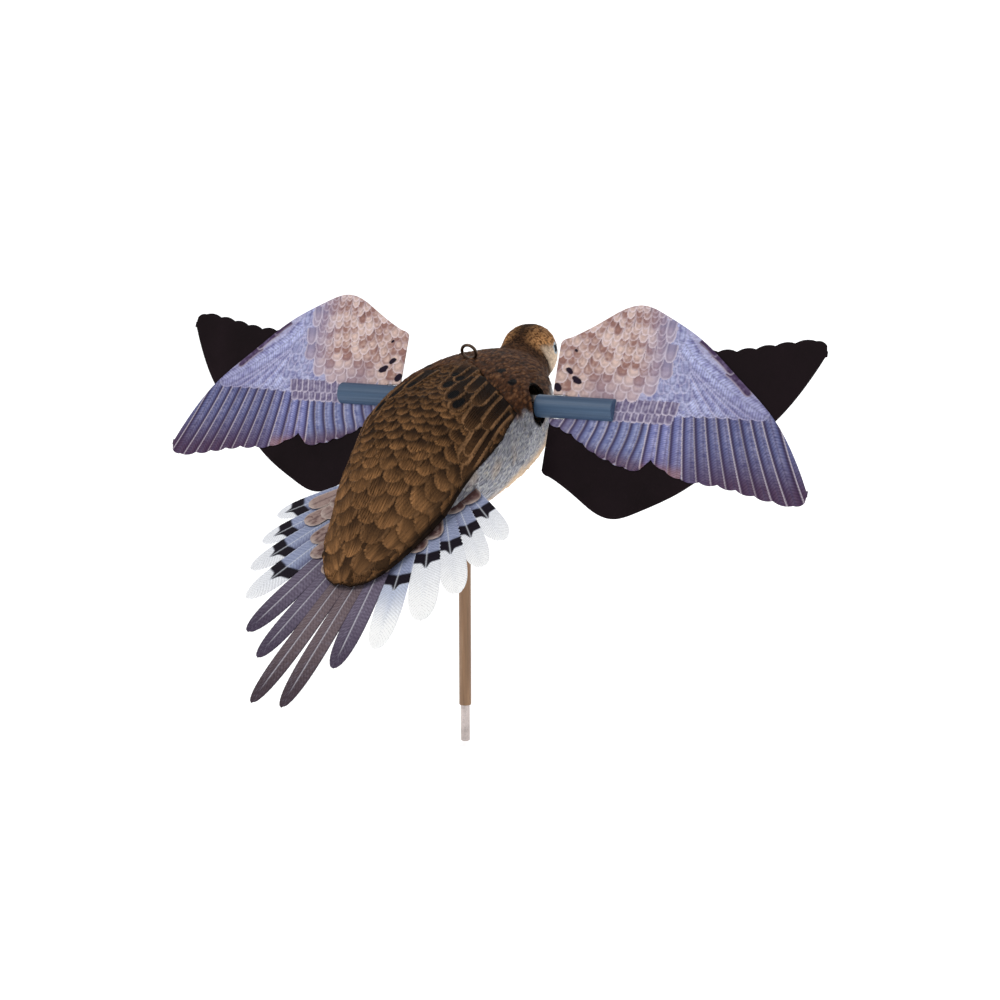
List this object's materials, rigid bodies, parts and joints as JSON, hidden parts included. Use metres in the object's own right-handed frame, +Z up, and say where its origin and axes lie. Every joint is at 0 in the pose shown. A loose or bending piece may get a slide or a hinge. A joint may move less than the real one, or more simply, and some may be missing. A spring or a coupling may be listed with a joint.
{
  "type": "motion wing decoy",
  "caption": "Hollow dove decoy on a pole, whose two printed wings spin on a battery motor's through shaft.",
  "frame": {"origin": "shoulder of the spigot at the lower end of the pole, on the pole's axis", "axes": "+Z up along the pole; the dove faces -Y; its left wing is towards +X"},
  "size_m": [0.4616, 0.3564, 0.2894],
  "materials": {
    "pole_steel": "satin brown paint",
    "bright_steel": "satin",
    "body_plastic": "moulded and painted feathers, matte",
    "cover_plastic": "moulded and painted feathers, matte",
    "eye_gloss": "gloss",
    "fan_sheet": "printed sheet, matte",
    "wing_print": "printed sheet, matte",
    "wing_black": "matte black",
    "tube_blue": "blue anodised, satin",
    "inner_plastic": "moulded, matte",
    "end_bell_plastic": "moulded",
    "magnet": "sintered",
    "nickel": "plated",
    "bronze": "sintered",
    "copper": "enamelled",
    "cell_wrap": "plain wrap, gloss",
    "lead_red": "insulation",
    "lead_black": "insulation"
  },
  "bodies": {
    "pole": {"upper_pole": "pole_steel", "pole_spigot": "bright_steel"},
    "wing_shaft": {"motor_shaft": "bright_steel", "armature_core": "bright_steel", "armature_windings": "copper", "commutator": "copper", "hub_grub_screws": "bright_steel", "hub_left": "bright_steel", "hub_right": "bright_steel"},
    "back_cover": {"back_cover": "cover_plastic", "cover_magnet_left": "nickel", "cover_magnet_right": "nickel"},
    "power_switch": {"switch_slider": "end_bell_plastic"},
    "wing_left": {"wing_tube_left": "tube_blue", "wing_magnet_left": "magnet", "printed_blade_left": "wing_print", "counter_blade_left": "wing_black"},
    "wing_right": {"wing_tube_right": "tube_blue", "wing_magnet_right": "magnet", "printed_blade_right": "wing_print", "counter_blade_right": "wing_black"},
    "body": {"battery_cell_1": "cell_wrap", "battery_cell_2": "cell_wrap", "battery_cell_3": "cell_wrap", "battery_cell_4": "cell_wrap", "battery_holder": "inner_plastic", "belly_shell": "body_plastic", "contact_strip_left": "nickel", "contact_strip_right": "nickel", "eye_left": "eye_gloss", "eye_right": "eye_gloss", "hang_ring": "bright_steel", "lead_black": "lead_black", "lead_red": "lead_red", "lead_switch": "lead_black", "motor_brush_lower": "copper", "motor_brush_upper": "copper", "motor_bush_left": "bronze", "motor_bush_right": "bronze", "motor_can": "nickel", "motor_cradle": "inner_plastic", "motor_end_bell": "end_bell_plastic", "motor_magnet_lower": "magnet", "motor_magnet_upper": "magnet", "motor_strap": "bright_steel", "pole_socket": "inner_plastic", "seat_magnet_left": "nickel", "seat_magnet_right": "nickel", "socket_screws": "bright_steel", "strap_screws": "bright_steel", "switch_housing": "inner_plastic", "tail_fan": "fan_sheet", "tail_screws": "bright_steel"}
  },
  "joints": [
    {"name": "body_swivel", "type": "hinge", "parent": "pole", "child": "body", "pos_m": [0, 0, 0.165], "axis": [0, 0, 1], "continuous": true},
    {"name": "wing_spin", "type": "hinge", "parent": "body", "child": "wing_shaft", "pos_m": [0, -0.013, 0.2], "axis": [1, 0, 0], "continuous": true},
    {"name": "wing_left_pull", "type": "slide", "parent": "wing_shaft", "child": "wing_left", "axis": [1, 0, 0], "range_m": [0, 0.03]},
    {"name": "wing_right_pull", "type": "slide", "parent": "wing_shaft", "child": "wing_right", "axis": [-1, 0, 0], "range_m": [0, 0.03]},
    {"name": "back_cover_lift", "type": "slide", "parent": "body", "child": "back_cover", "axis": [0, 0.4226, 0.9063], "range_m": [0, 0.06]},
    {"name": "power_switch_slide", "type": "slide", "parent": "body", "child": "power_switch", "axis": [1, 0, 0], "range_m": [0, 0.0045]}
  ]
}
